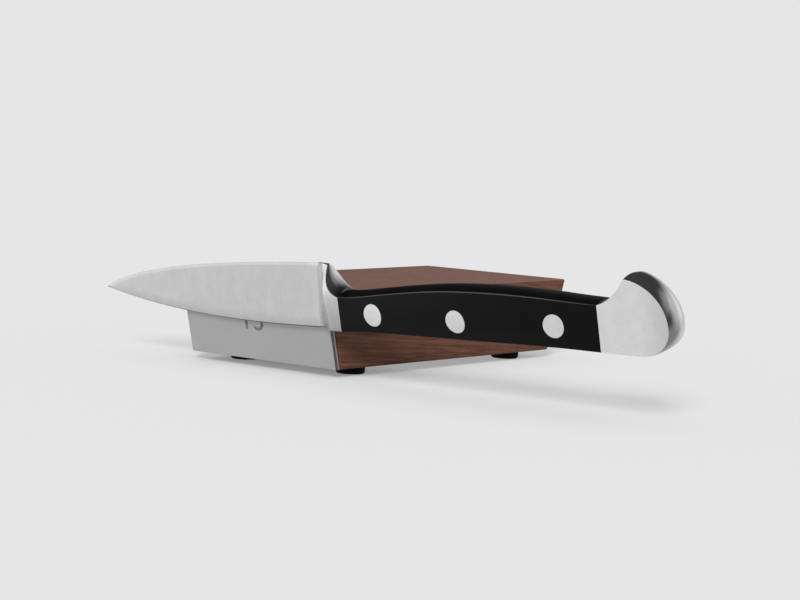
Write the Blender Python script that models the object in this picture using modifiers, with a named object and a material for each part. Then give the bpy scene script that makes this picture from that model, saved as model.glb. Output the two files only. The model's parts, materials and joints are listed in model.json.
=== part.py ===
"""Magnetic angle block of a rolling knife sharpener, with a paring knife held on its steel face.

The block stands on the floor plane z = 0. X runs across the block and along the knife, from the
blade's point at -X to the handle's butt at +X. The face that leans out by front_angle looks
towards -Y and the one that leans out by rear_angle looks towards +Y. Lengths are in metres.
"""
from math import atan2, cos, pi, radians, sin, tan

import bmesh
import bpy
from mathutils import Matrix, Vector
from mathutils.geometry import interpolate_bezier

# Block
block_width = 0.050
block_top_length = 0.104
block_height = 0.0197
front_angle = radians(15)
rear_angle = radians(20)
wood_edge_round = 0.0005

# Steel faces of the block
plate_thickness = 0.0015
plate_edge_round = 0.0002
rear_plate_border = 0.0022
rear_plate_corner = 0.0012

# Magnets behind the two faces
magnet_width = 0.010
magnet_depth = 0.010
magnet_edge_round = 0.0003
magnet_side_wall = 0.0024
magnet_wall = 0.0008

# Rubber feet
foot_diameter = 0.0076
foot_stand = 0.0022
foot_sunk = 0.0006
foot_edge_round = 0.0004
foot_stem_diameter = 0.0030
foot_stem_length = 0.0040
foot_side_inset = 0.0065
foot_end_inset = 0.0115

# Clearances: between seated pieces, and inside the knife's fitted handle
seat_gap = 0.0003
fine_gap = 0.00015
overrun = 0.0020
merge_distance = 0.000001

# Knife on the block
knife_rise = 0.0120
knife_heel_overhang = 0.0006
knife_tilt = radians(2)

# Blade
blade_length = 0.0780
blade_height = 0.0166
blade_spine_thickness = 0.0018
blade_point_thickness = 0.0007
blade_edge_thickness = 0.00008
edge_bevel_height = 0.0007
edge_bevel_thickness = 0.0003
edge_bevel_most_share = 0.4

# Bolster
bolster_length = 0.0076
bolster_flare_length = 0.0036
heel_land_length = 0.0030
heel_top_thickness = 0.0006
bolster_slant = 0.0010
scoop_crown = 0.0010

# Handle
handle_length = 0.0774
handle_height = 0.0122
handle_end_thickness = 0.0075
handle_butt_thickness = 0.0068
handle_arris_thickness = 0.0082
handle_side_swell = 0.0010
handle_front_crown = 0.0009
handle_butt_crown = 0.0004
handle_arris_round = 0.0004
tang_thickness = 0.0024
tang_margin = 0.0013
rivet_head_diameter = 0.0058
rivet_shank_diameter = 0.0035
rivet_head_seat = 0.0019

# Butt
butt_length = 0.0189
butt_height = 0.0177
butt_crest_crown = 0.0014

# Blade outline: Bezier points as shares of blade_length from the heel and of blade_height
edge_line_shares = ((0, 1), (0.51, 0.94), (0.85, 0.76), (1, 0.41))
spine_line_shares = ((0, 0), (0.41, -0.05), (0.74, 0.095), (1, 0.395))

# Finger scoop: Bezier points as shares of the way from the heel to the handle, and down
scoop_line_shares = ((0, 0), (0.155, 0.52), (0.24, 0.835), (1, 1))
heel_land_shares = (0.35, 0.7)
bolster_taper_share = 2.0

# Handle outline: shares of handle_length, and of handle_height above the spine line
handle_top_shares = (
    (0, 0.735), (0.04, 0.735), (0.10, 0.77), (0.26, 0.885), (0.40, 0.965),
    (0.52, 0.995), (0.66, 1.0), (0.80, 0.975), (0.90, 0.945), (1, 0.925))
handle_back_shares = ((0, 0.025), (0.10, 0.06), (0.50, 0.065), (0.83, 0.05), (1, 0.016))
handle_arris_shares = ((0, 0), (0.25, 0.8), (0.45, 1), (0.65, 0.85), (1, 0))

# Butt outline: Bezier points as shares of butt_length and butt_height
butt_hook_shares = ((0, 0.64), (0.19, 0.695), (0.30, 0.825), (0.41, 0.985))
butt_tip_shares = ((0.41, 0.985), (0.425, 1.004), (0.445, 1.004), (0.47, 0.997))
butt_crest_shares = ((0.47, 0.997), (0.79, 0.93), (1.0, 0.665), (0.995, 0.38))
butt_heel_shares = ((0.995, 0.38), (0.995, 0.13), (0.77, -0.01), (0.56, 0.0))

# Butt's rim: shares of the way round it, and of the way from the handle's swell to the crest's
butt_crown_shares = (
    (0, 0), (0.20, 0.1), (0.26, 1.1), (0.39, 1), (0.55, 0.3), (0.67, -0.15), (0.80, 0), (1, 0))

# Rivets: shares of handle_length and of handle_height
rivet_shares = {
    "front_rivet": (0.146, 0.43),
    "middle_rivet": (0.483, 0.44),
    "rear_rivet": (0.845, 0.48)}

# Where the lofted sections have their points, as shares of the way round
scale_edge_shares = (0, 0.5, 1)
scale_side_shares = (0, 0.25, 0.5, 0.75, 1)
butt_section_shares = (-1, -0.8, -0.45, 0, 0.45, 0.8, 1)

# How finely round and lofted shapes are divided
round_segments = 32
corner_steps = 3
blade_levels = 5
blade_stations = 22
scoop_stations = 9
handle_stations = 18
butt_curve_points = 9
butt_tip_points = 4

# Sizes that follow from the ones above
block_foot_length = block_top_length - block_height * (tan(front_angle) + tan(rear_angle))
block_floor = foot_stand
wood_front = (plate_thickness + seat_gap) / cos(front_angle)
front_slope = block_height / cos(front_angle)
rear_slope = block_height / cos(rear_angle)
foot_head = foot_stand + foot_sunk - seat_gap
magnet_pocket_width = magnet_width + 2 * seat_gap
magnet_room = block_width - 2 * magnet_side_wall
magnets_in_a_row = int((magnet_room + magnet_wall) / (magnet_pocket_width + magnet_wall))
handle_start = bolster_length
butt_start = handle_start + handle_length
blade_wedge = atan2((blade_spine_thickness - edge_bevel_thickness) / 2, blade_height)


def new_collection(name):
    group = bpy.data.collections.new(name)
    bpy.context.scene.collection.children.link(group)
    return group


def clear_scene():
    for old in list(bpy.data.objects):
        bpy.data.objects.remove(old)


def material(name, colour, roughness, metallic):
    made = bpy.data.materials.new(name)
    made.use_nodes = True
    surface = made.node_tree.nodes["Principled BSDF"]
    surface.inputs["Base Color"].default_value = (*colour, 1)
    surface.inputs["Roughness"].default_value = roughness
    surface.inputs["Metallic"].default_value = metallic
    return made


def make_object(name, mesh, group, parent, finish):
    made = bpy.data.objects.new(name, mesh)
    group.objects.link(made)
    made.parent = parent
    mesh.materials.append(finish)
    return made


def make_cutter(name, mesh, tools, parent):
    made = bpy.data.objects.new(name, mesh)
    tools.objects.link(made)
    made.parent = parent
    made.hide_render = True
    made.display_type = "WIRE"
    return made


def make_empty(name, group, parent, location, rotation):
    made = bpy.data.objects.new(name, None)
    group.objects.link(made)
    made.parent = parent
    made.location = location
    made.rotation_euler = rotation
    return made


def mesh_from(name, shape, smooth_angle=None):
    mesh = bpy.data.meshes.new(name)
    shape.to_mesh(mesh)
    shape.free()
    if smooth_angle:
        mesh.shade_smooth()
        mesh.set_sharp_from_angle(angle=smooth_angle)
    return mesh


def combine(piece, tool, operation):
    step = piece.modifiers.new(tool.name, "BOOLEAN")
    step.operation = operation
    step.object = tool


def round_edges(piece, width):
    step = piece.modifiers.new("rounded_edges", "BEVEL")
    step.width = width
    step.segments = 2
    step.limit_method = "ANGLE"
    step.angle_limit = radians(40)


def box_mesh(name, low, high):
    """Box between two opposite corners."""
    shape = bmesh.new()
    bmesh.ops.create_cube(shape, size=1)
    low = Vector(low)
    high = Vector(high)
    for vert in shape.verts:
        share = vert.co + Vector((0.5, 0.5, 0.5))
        vert.co = low + share * (high - low)
    return mesh_from(name, shape)


def square_bar_mesh(name, width, length):
    """Square bar along Y, about its own middle."""
    corner = Vector((width, length, width)) / 2
    return box_mesh(name, -corner, corner)


def leaning_box_mesh(name, front, front_lean, rear, rear_lean):
    """Box as wide and high as the block, whose front and rear faces lean outwards."""
    shape = bmesh.new()
    bmesh.ops.create_cube(shape, size=1)
    for vert in shape.verts:
        up = block_height if vert.co.z > 0 else 0
        if vert.co.y < 0:
            depth = front - up * tan(front_lean)
        else:
            depth = rear + up * tan(rear_lean)
        vert.co = Vector((vert.co.x * block_width, depth, block_floor + up))
    return mesh_from(name, shape)


def turned_mesh(name, profile):
    """Solid turned about Z, from (radius, height) points that run down its outer side."""
    lathe_mesh = bpy.data.meshes.new(name + "_profile")
    points = [(radius, 0, height) for radius, height in profile]
    lathe_mesh.from_pydata(points, [(i, i + 1) for i in range(len(points) - 1)], [])
    lathe = bpy.data.objects.new(name + "_profile", lathe_mesh)
    bpy.context.scene.collection.objects.link(lathe)
    turn = lathe.modifiers.new("turn", "SCREW")
    turn.steps = round_segments
    turn.render_steps = round_segments
    turn.use_merge_vertices = True
    turn.merge_threshold = merge_distance
    mesh = finished_mesh(lathe)
    mesh.shade_smooth()
    mesh.set_sharp_from_angle(angle=radians(40))
    return mesh


def finished_mesh(source):
    """Mesh of an object as its modifiers or its curve make it, which takes the object's place."""
    bpy.context.view_layer.update()
    evaluated = source.evaluated_get(bpy.context.evaluated_depsgraph_get())
    mesh = bpy.data.meshes.new_from_object(evaluated)
    bpy.data.objects.remove(source)
    return mesh


def flat_plate_mesh(name, outline, half_thickness):
    """Plate with an outline of (x, z) points, and its thickness along Y."""
    curve = bpy.data.curves.new(name, "CURVE")
    curve.dimensions = "2D"
    curve.fill_mode = "BOTH"
    curve.extrude = half_thickness
    spline = curve.splines.new("POLY")
    spline.points.add(len(outline) - 1)
    for point, (x, z) in zip(spline.points, outline):
        point.co = (x, z, 0, 1)
    spline.use_cyclic_u = True
    holder = bpy.data.objects.new(name, curve)
    bpy.context.scene.collection.objects.link(holder)
    shape = bmesh.new()
    shape.from_mesh(finished_mesh(holder))
    bmesh.ops.remove_doubles(shape, verts=shape.verts, dist=merge_distance)
    bmesh.ops.rotate(shape, verts=shape.verts, matrix=Matrix.Rotation(pi / 2, 3, "X"))
    bmesh.ops.recalc_face_normals(shape, faces=shape.faces)
    return mesh_from(name, shape)


def loft_mesh(name, rings, smooth_angle):
    """Solid skinned over closed rings of points, with its two end rings closed."""
    shape = bmesh.new()
    rows = [[shape.verts.new(point) for point in ring] for ring in rings]
    count = len(rows[0])
    for row, following in zip(rows, rows[1:]):
        for i in range(count):
            j = (i + 1) % count
            shape.faces.new((row[i], row[j], following[j], following[i]))
    shape.faces.new(rows[0])
    shape.faces.new(rows[-1])
    bmesh.ops.recalc_face_normals(shape, faces=shape.faces)
    return mesh_from(name, shape, smooth_angle)


def bezier(shares, width, height, count):
    """Points along a Bezier curve whose four points are shares of a width and a height."""
    knots = [Vector((x * width, z * height)) for x, z in shares]
    return interpolate_bezier(*knots, count)


def follow(points, share):
    """Height at a share of the way along a smooth line through (share, height) points."""
    last = len(points) - 1
    index = min(max(sum(1 for x, _ in points if x <= share) - 1, 0), last - 1)

    def slope(i):
        before = points[max(i - 1, 0)]
        after = points[min(i + 1, last)]
        return (after[1] - before[1]) / (after[0] - before[0])

    (x0, y0), (x1, y1) = points[index], points[index + 1]
    span = x1 - x0
    t = (share - x0) / span
    rise = y1 - y0
    lead = slope(index) * span
    tail = slope(index + 1) * span
    return y0 + lead * t + (3 * rise - 2 * lead - tail) * t ** 2 + (lead + tail - 2 * rise) * t ** 3


def ease(share):
    """Smooth step from 0 to 1."""
    share = min(max(share, 0), 1)
    return share * share * (3 - 2 * share)


def bulge(share):
    """0 at both ends and 1 in the middle."""
    return 4 * share * (1 - share)


def handle_top(share):
    return handle_height * follow(handle_top_shares, share)


def handle_back(share):
    return handle_height * follow(handle_back_shares, share)


def edge_crown(share):
    """How far the handle's top and back swell between their long edges."""
    return handle_front_crown + (handle_butt_crown - handle_front_crown) * share


def handle_half(share):
    """Half the handle's thickness at the long edges of its sides."""
    ends = handle_end_thickness + (handle_butt_thickness - handle_end_thickness) * share
    return (ends + (handle_arris_thickness - ends) * follow(handle_arris_shares, share)) / 2


def add_body(group, cutters, root, finish):
    """Walnut body, with seats for the rear plate, the magnets and the feet."""
    mesh = leaning_box_mesh("walnut_body", wood_front, front_angle, block_foot_length, rear_angle)
    body = make_object("walnut_body", mesh, group, root, finish)
    round_edges(body, wood_edge_round)
    for tool in cutters:
        combine(body, tool, "DIFFERENCE")
    return body


def add_front_plate(group, root, finish):
    rear = plate_thickness / cos(front_angle)
    mesh = leaning_box_mesh("front_plate_15", 0, front_angle, rear, -front_angle)
    plate = make_object("front_plate_15", mesh, group, root, finish)
    round_edges(plate, plate_edge_round)


def rounded_outline(half_width, half_height, corner):
    """Rectangle with round corners, as (x, z) points about its centre."""
    points = []
    for quarter, (side, up) in enumerate(((1, 1), (-1, 1), (-1, -1), (1, -1))):
        for step in range(corner_steps + 1):
            angle = pi / 2 * (quarter + step / corner_steps)
            x = side * (half_width - corner) + corner * cos(angle)
            z = up * (half_height - corner) + corner * sin(angle)
            points.append((x, z))
    return points


def add_rear_plate(group, tools, face, finish):
    """Plate let into the rear face, and the recess that takes it."""
    half_width = block_width / 2 - rear_plate_border
    half_height = rear_slope / 2 - rear_plate_border
    outline = rounded_outline(half_width, half_height, rear_plate_corner)
    mesh = flat_plate_mesh("rear_plate_20", outline, plate_thickness / 2)
    plate = make_object("rear_plate_20", mesh, group, face, finish)
    plate.location.y = -plate_thickness / 2
    wider = rounded_outline(half_width + seat_gap, half_height + seat_gap, rear_plate_corner + seat_gap)
    depth = plate_thickness + seat_gap
    mesh = flat_plate_mesh("rear_plate_recess", wider, (depth + overrun) / 2)
    recess = make_cutter("rear_plate_recess", mesh, tools, face)
    recess.location.y = (overrun - depth) / 2
    return recess


def add_magnets(group, tools, face, side, word, finish):
    """Row of square magnets behind a face, whose outside looks along side times Y, and their pockets."""
    pitch = (magnet_room + magnet_wall) / magnets_in_a_row
    outer = plate_thickness + seat_gap
    inner = outer + magnet_depth
    pocket_depth = magnet_depth + seat_gap + overrun
    hole = square_bar_mesh(word + "_magnet_pocket", magnet_pocket_width, pocket_depth)
    pockets = []
    for number in range(magnets_in_a_row):
        x = (number - (magnets_in_a_row - 1) / 2) * pitch
        name = f"{word}_magnet_{number + 1}"
        bar = square_bar_mesh(name, magnet_width, magnet_depth)
        magnet = make_object(name, bar, group, face, finish)
        magnet.location = (x, -side * (outer + inner) / 2, 0)
        round_edges(magnet, magnet_edge_round)
        pocket = make_cutter(name + "_pocket", hole, tools, face)
        pocket.location = (x, -side * (inner + seat_gap - pocket_depth / 2), 0)
        pockets.append(pocket)
    return pockets


def add_feet(group, tools, root, finish):
    """Four rubber feet with stems, and the stepped holes that take them."""
    radius = foot_diameter / 2
    stem = foot_stem_diameter / 2
    stem_top = foot_head + foot_stem_length
    foot_profile = (
        (0, stem_top), (stem - foot_edge_round, stem_top), (stem, stem_top - foot_edge_round),
        (stem, foot_head), (radius, foot_head), (radius, foot_edge_round),
        (radius - foot_edge_round, 0), (0, 0))
    hole_profile = (
        (0, stem_top + seat_gap), (stem + seat_gap, stem_top + seat_gap),
        (stem + seat_gap, foot_head + seat_gap), (radius + seat_gap, foot_head + seat_gap),
        (radius + seat_gap, block_floor - overrun), (0, block_floor - overrun))
    hole_mesh = turned_mesh("foot_hole", hole_profile)
    holes = []
    for end, y in (("front", wood_front + foot_end_inset), ("rear", block_foot_length - foot_end_inset)):
        for word, side in (("left", -1), ("right", 1)):
            name = f"foot_{end}_{word}"
            place = (side * (block_width / 2 - foot_side_inset), y, 0)
            foot = make_object(name, turned_mesh(name, foot_profile), group, root, finish)
            foot.location = place
            hole = make_cutter(name + "_hole", hole_mesh, tools, root)
            hole.location = place
            holes.append(hole)
    return holes


def outward_normals(points, first, last):
    """Unit normals on the left of a line of (x, z) points, with those of its two ends given."""
    normals = [first]
    for before, after in zip(points, points[2:]):
        along = after - before
        normals.append(Vector((-along.y, along.x)).normalized())
    return [*normals, last]


def ring_between(low, high, halves, below=0, above=Vector((0, 0))):
    """Closed section from a low to a high (x, z) point, half as thick as halves says at each share.

    Its middle swells downwards by below, and at the top by the vector above.
    """
    side = []
    for share, half in halves:
        x, z = low.lerp(high, share)
        side.append((x, half, z))
    bottom = (low.x, 0, low.y - below)
    top = (high.x + above.x, 0, high.y + above.y)
    far = [(x, -y, z) for x, y, z in reversed(side)]
    return [bottom, *side, top, *far]


def blade_halves(height, spine, share_along):
    """Half thickness of the blade at shares of a section of this height."""
    bevel = min(edge_bevel_height / height, edge_bevel_most_share)
    thin = 1 - share_along * (1 - blade_point_thickness / blade_spine_thickness)
    back = spine * thin / 2
    shoulder = min(edge_bevel_thickness / 2, back)
    levels = []
    for step in range(blade_levels + 1):
        share = step / blade_levels
        levels.append((share * (1 - bevel), back + (shoulder - back) * share))
    levels.append((1, blade_edge_thickness / 2))
    return levels


def bolster_halves(x, low, high):
    """Half thickness of the bolster at shares of its section at x, from z = low to z = high."""
    shoulder = handle_top(0)
    levels = []
    bevel = edge_bevel_height / blade_height
    for share in [step / blade_levels * (1 - bevel) for step in range(blade_levels + 1)] + [1]:
        z = low + (high - low) * share
        up = min(max(z / blade_height, 0), 1)
        thin = (blade_spine_thickness + (edge_bevel_thickness - blade_spine_thickness) * up) / 2
        above = min(max((z - shoulder) / (blade_height - shoulder), 0), 1)
        full = (handle_end_thickness + (heel_top_thickness - handle_end_thickness)
                * above ** bolster_taper_share) / 2
        start = bolster_slant * up
        end = bolster_length + (bolster_flare_length - bolster_length) * min(max(z / shoulder, 0), 1)
        levels.append((share, thin + (full - thin) * ease((x - start) / (end - start))))
    return levels


def blade_and_bolster_rings():
    """Sections from the blade's point to the back of the bolster."""
    edge = bezier(edge_line_shares, -blade_length, blade_height, blade_stations)
    spine = bezier(spine_line_shares, -blade_length, blade_height, blade_stations)
    rings = []
    for number in range(blade_stations - 1, -1, -1):
        low = spine[number]
        high = edge[number]
        along = number / (blade_stations - 1)
        rings.append(ring_between(low, high, blade_halves(high.y - low.y, blade_spine_thickness, along)))
    back = handle_back(0)
    drop = blade_height - handle_top(0)
    scoop = bezier(scoop_line_shares, bolster_length - heel_land_length, -drop, scoop_stations)
    land = [Vector((heel_land_length * share, 0)) for share in heel_land_shares]
    tops = land + [Vector((heel_land_length, 0)) + step for step in scoop]
    up = Vector((0, 1))
    for number, (top, normal) in enumerate(zip(tops, outward_normals(tops, up, up))):
        share = top.x / bolster_length
        down_scoop = max(number - len(land), 0) / (scoop_stations - 1)
        swell = edge_crown(0) * ease(share)
        above = normal * (swell + scoop_crown * bulge(down_scoop))
        low = Vector((top.x, back * ease(share)))
        high = Vector((top.x, blade_height + top.y))
        halves = bolster_halves(top.x, low.y, high.y)
        rings.append(ring_between(low, high, halves, swell, above))
    return rings


def tang_outline(margin):
    """Outline of the tang, drawn in by a margin from the handle's, from bolster to butt."""
    steps = [step / handle_stations for step in range(handle_stations + 1)]
    reach = overrun / handle_length
    along = [-reach, *steps, 1 + reach]
    upper = []
    lower = []
    for share in along:
        inside = min(max(share, 0), 1)
        x = handle_start + share * handle_length
        upper.append((x, handle_top(inside) - margin))
        lower.append((x, handle_back(inside) + margin))
    return upper + lower[::-1]


def butt_outline():
    """Outline of the butt's flat side, from the joint with the handle round and back to it."""
    points = []
    for shares in (butt_hook_shares, butt_tip_shares, butt_crest_shares, butt_heel_shares):
        count = butt_tip_points if shares is butt_tip_shares else butt_curve_points
        points += bezier(shares, butt_length, butt_height, count)[:-1]
    points.append(Vector((butt_heel_shares[-1][0] * butt_length, 0)))
    points.append(Vector((0, handle_back(1))))
    return [Vector((butt_start, 0)) + point for point in points]


def butt_crowns(outline):
    """How far the butt's rim swells at each point of its outline."""
    ways = [0]
    for before, point in zip(outline, outline[1:]):
        ways.append(ways[-1] + (point - before).length)
    climb = butt_crest_crown - handle_butt_crown
    return [handle_butt_crown + climb * follow(butt_crown_shares, way / ways[-1]) for way in ways]


def butt_rings():
    """Sections of the butt, whose outline swells from its flat sides to its middle."""
    outline = butt_outline()
    up = Vector((0, 1))
    normals = outward_normals(outline, up, -up)
    crowns = butt_crowns(outline)
    rings = []
    for share in butt_section_shares:
        ring = []
        for point, normal, crown in zip(outline, normals, crowns):
            grown = point + normal * crown * (1 - share * share)
            ring.append((grown.x, share * handle_butt_thickness / 2, grown.y))
        rings.append(ring)
    return rings


def scale_ring(share, side):
    """Section of one handle scale, or of the whole handle where side is 0."""
    x = handle_start + fine_gap + share * (handle_length - 2 * fine_gap)
    low = handle_back(share)
    high = handle_top(share)
    half = handle_half(share)
    arris = handle_arris_round
    inner = 0 if side == 0 else fine_gap / 2
    lower = []
    upper = []
    for part in scale_edge_shares:
        y = inner + part * (half - arris - inner)
        crown = edge_crown(share) * (1 - (y / half) ** 2)
        lower.append((y, low - crown))
        upper.append((y, high + arris * bulge(share) + crown))
    flank = []
    for part in scale_side_shares:
        y = half + handle_side_swell * bulge(share) * bulge(part)
        flank.append((y, low + arris + part * (high - low - arris)))
    near = [(x, y, z) for y, z in lower + flank + upper[::-1]]
    if side:
        return [(x, side * y, z) for x, y, z in near]
    return near + [(x, -y, z) for x, y, z in near[-2:0:-1]]


def handle_mesh(name, side):
    rings = [scale_ring(step / handle_stations, side) for step in range(handle_stations + 1)]
    return loft_mesh(name, rings, radians(30))


def rivet_profile(gap, reach):
    """Cutler's rivet with a head at each end, wider all round by a gap."""
    head = rivet_head_diameter / 2 + gap
    shank = rivet_shank_diameter / 2 + gap
    seat = rivet_head_seat - gap
    return (
        (0, reach), (head, reach), (head, seat), (shank, seat),
        (shank, -seat), (head, -seat), (head, -reach), (0, -reach))


def add_rivets(group, tools, knife, finish, whole_handle):
    """Rivets across the handle, ground flush with its sides, and the holes that take them."""
    reach = handle_arris_thickness
    across = Matrix.Rotation(pi / 2, 4, "X")
    holes = []
    for name, (along, up) in rivet_shares.items():
        place = (handle_start + along * handle_length, 0, up * handle_height)
        pin_mesh = turned_mesh(name, rivet_profile(0, reach))
        pin_mesh.transform(across)
        pin = make_object(name, pin_mesh, group, knife, finish)
        pin.location = place
        combine(pin, whole_handle, "INTERSECT")
        hole_mesh = turned_mesh(name + "_hole", rivet_profile(fine_gap, reach + overrun))
        hole_mesh.transform(across)
        hole = make_cutter(name + "_hole", hole_mesh, tools, knife)
        hole.location = place
        holes.append(hole)
    return holes


def add_knife(group, tools, knife, finishes):
    """Forged blade, bolster, tang and butt in one, two handle scales and three rivets."""
    steel, satin, black = finishes
    whole_handle = make_cutter("handle_form", handle_mesh("handle_form", 0), tools, knife)
    pocket_mesh = flat_plate_mesh("tang_pocket", tang_outline(tang_margin - fine_gap),
                                  tang_thickness / 2 + fine_gap)
    pocket = make_cutter("tang_pocket", pocket_mesh, tools, knife)
    holes = add_rivets(group, tools, knife, satin, whole_handle)

    front = loft_mesh("blade_and_tang", blade_and_bolster_rings(), radians(30))
    forging = make_object("blade_and_tang", front, group, knife, steel)
    tang_mesh = flat_plate_mesh("tang_form", tang_outline(tang_margin), tang_thickness / 2)
    tang = make_cutter("tang_form", tang_mesh, tools, knife)
    butt = make_cutter("butt_form", loft_mesh("butt_form", butt_rings(), radians(30)), tools, knife)
    combine(forging, tang, "UNION")
    combine(forging, butt, "UNION")
    for hole in holes:
        combine(forging, hole, "DIFFERENCE")

    for word, side in (("outer", -1), ("inner", 1)):
        name = word + "_handle_scale"
        scale = make_object(name, handle_mesh(name, side), group, knife, black)
        for hole in holes:
            combine(scale, hole, "DIFFERENCE")
        combine(scale, pocket, "DIFFERENCE")


def stand_on_origin(root, group):
    """Move the whole object so that the middle of its footprint is the origin."""
    bpy.context.view_layer.update()
    graph = bpy.context.evaluated_depsgraph_get()
    corners = []
    for piece in group.objects:
        if piece.type == "MESH":
            mesh = piece.evaluated_get(graph).to_mesh()
            corners += [piece.matrix_world @ vert.co for vert in mesh.vertices]
    xs = [corner.x for corner in corners]
    ys = [corner.y for corner in corners]
    root.location = (-(min(xs) + max(xs)) / 2, -(min(ys) + max(ys)) / 2, 0)


def main():
    clear_scene()
    group = new_collection("angle_block_and_knife")
    tools = new_collection("cutters")
    walnut = material("walnut", (0.105, 0.050, 0.034), 0.55, 0)
    plate_steel = material("satin_plate", (0.36, 0.36, 0.36), 0.38, 1)
    nickel = material("nickel_plated_magnet", (0.62, 0.61, 0.58), 0.25, 1)
    rubber = material("black_rubber", (0.012, 0.012, 0.012), 0.85, 0)
    steel = material("ground_steel", (0.52, 0.52, 0.52), 0.28, 1)
    satin = material("rivet_steel", (0.60, 0.60, 0.60), 0.35, 1)
    black = material("black_handle", (0.010, 0.010, 0.010), 0.35, 0)

    root = make_empty("block_origin", group, None, (0, 0, 0), (0, 0, 0))
    middle = block_floor + block_height / 2
    front_face = make_empty(
        "front_face", group, root, (0, -block_height / 2 * tan(front_angle), middle), (front_angle, 0, 0))
    rear_face = make_empty(
        "rear_face", group, root,
        (0, block_foot_length + block_height / 2 * tan(rear_angle), middle), (-rear_angle, 0, 0))

    add_front_plate(group, root, plate_steel)
    cutters = [add_rear_plate(group, tools, rear_face, plate_steel)]
    cutters += add_magnets(group, tools, front_face, -1, "front", nickel)
    cutters += add_magnets(group, tools, rear_face, 1, "rear", nickel)
    cutters += add_feet(group, tools, root, rubber)
    add_body(group, cutters, root, walnut)

    rest = make_empty(
        "knife_rest", group, front_face, (0, 0, knife_rise - front_slope / 2), (0, 0, 0))
    stand_off = seat_gap + blade_spine_thickness / 2
    lean = make_empty("knife_lean", group, rest, (0, -stand_off, 0), (-blade_wedge, 0, 0))
    heel = block_width / 2 + knife_heel_overhang
    knife = make_empty("knife", group, lean, (heel, 0, 0), (0, -knife_tilt, 0))
    add_knife(group, tools, knife, (steel, satin, black))
    stand_on_origin(root, group)


main()
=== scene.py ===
"""Looks, light and camera for a magnetic angle block that holds a paring knife on its steel face.

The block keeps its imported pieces, and finer ones replace the knife's. Lengths are in metres and +Z
is up. The knife's own axes start at its heel: X towards the butt, -Y out of the side that shows, Z
from the spine to the edge.
"""
import json
from math import atan2, cos, pi, radians, sin, tan

import bmesh
import bpy
from mathutils import Matrix, Vector
from mathutils.geometry import interpolate_bezier


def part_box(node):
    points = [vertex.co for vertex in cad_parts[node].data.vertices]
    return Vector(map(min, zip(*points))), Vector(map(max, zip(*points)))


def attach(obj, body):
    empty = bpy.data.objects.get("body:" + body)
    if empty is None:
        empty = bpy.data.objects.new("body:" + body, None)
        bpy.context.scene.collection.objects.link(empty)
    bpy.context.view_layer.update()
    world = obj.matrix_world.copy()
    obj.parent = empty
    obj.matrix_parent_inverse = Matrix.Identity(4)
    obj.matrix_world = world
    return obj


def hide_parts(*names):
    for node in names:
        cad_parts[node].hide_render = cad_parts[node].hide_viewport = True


# Block
front_angle = radians(15)
plate_thickness = 0.0015
plate_dark_edge = 0.0009
plate_edge_blend = 0.0001
seat_gap = 0.0003
foot_end_inset = 0.0115

# Angle numbers on the plates. A digit takes up number_line_share of its line's height
front_number = "15°"
rear_number = "20°"
number_height = 0.0062
number_line_share = 0.73
number_rise = 0.0082
number_depth = 0.00001

# Knife on the block
knife_rise = 0.0120
knife_heel_overhang = 0.0006
knife_tilt = radians(2)

# Blade
blade_length = 0.0780
blade_height = 0.0166
blade_spine_thickness = 0.0018
blade_point_thickness = 0.0007
blade_edge_thickness = 0.00008
spine_chamfer = 0.0004
spine_chamfer_most_share = 0.125
edge_bevel_height = 0.0007
edge_bevel_thickness = 0.0003
edge_bevel_most_share = 0.4
blade_fillet_length = 0.0036
blade_fillet_rise = 0.00016

# Bolster
bolster_length = 0.0076
flare_top_length = 0.0036
flare_back_length = 0.0054
heel_land_length = 0.0030
heel_land_drop = 0.0004
heel_top_thickness = 0.0006
bolster_slant = 0.0012
bolster_lead = 0.0003
scoop_crown = 0.0010
bolster_taper_power = 2.0

# Handle
handle_length = 0.0774
handle_height = 0.0122
handle_end_thickness = 0.0075
handle_butt_thickness = 0.0068
handle_arris_thickness = 0.0082
handle_side_swell = 0.0010
handle_front_crown = 0.0009
handle_butt_crown = 0.0004
handle_arris_round = 0.0004
handle_joint_gap = 0.00003
tang_thickness = 0.0024
tang_margin = 0.0013
rivet_head_diameter = 0.0058
rivet_proud = 0.00003
rivet_rim = 0.00008

# Butt
butt_length = 0.0189
butt_height = 0.0177
butt_crest_crown = 0.0014

# Outlines as shares of the sizes above
edge_line_shares = ((0, 1), (0.51, 0.94), (0.85, 0.76), (1, 0.41))
spine_line_shares = ((0, 0), (0.41, -0.05), (0.74, 0.095), (1, 0.395))
scoop_line_shares = ((0, 0), (0.155, 0.52), (0.24, 0.835), (1, 1))
heel_land_shares = (0, 0.15, 0.35, 0.55, 0.75, 0.9)
handle_top_shares = (
    (0, 0.735), (0.04, 0.735), (0.10, 0.77), (0.26, 0.885), (0.40, 0.965),
    (0.52, 0.995), (0.66, 1.0), (0.80, 0.975), (0.90, 0.945), (1, 0.925))
handle_back_shares = ((0, 0.025), (0.10, 0.06), (0.50, 0.065), (0.83, 0.05), (1, 0.016))
handle_arris_shares = ((0, 0), (0.25, 0.8), (0.45, 1), (0.65, 0.85), (1, 0))
butt_hook_shares = ((0, 0.64), (0.19, 0.695), (0.30, 0.825), (0.41, 0.985))
butt_tip_shares = ((0.41, 0.985), (0.425, 1.004), (0.445, 1.004), (0.47, 0.997))
butt_crest_shares = ((0.47, 0.997), (0.79, 0.93), (1.0, 0.665), (0.995, 0.38))
butt_heel_shares = ((0.995, 0.38), (0.995, 0.13), (0.77, -0.01), (0.56, 0.0))
butt_crown_shares = (
    (0, 0), (0.20, 0.1), (0.26, 1.1), (0.39, 1), (0.55, 0.3), (0.67, -0.15), (0.80, 0), (1, 0))
rivet_shares = {
    "front_rivet": (0.146, 0.43),
    "middle_rivet": (0.483, 0.44),
    "rear_rivet": (0.845, 0.48)}

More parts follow.
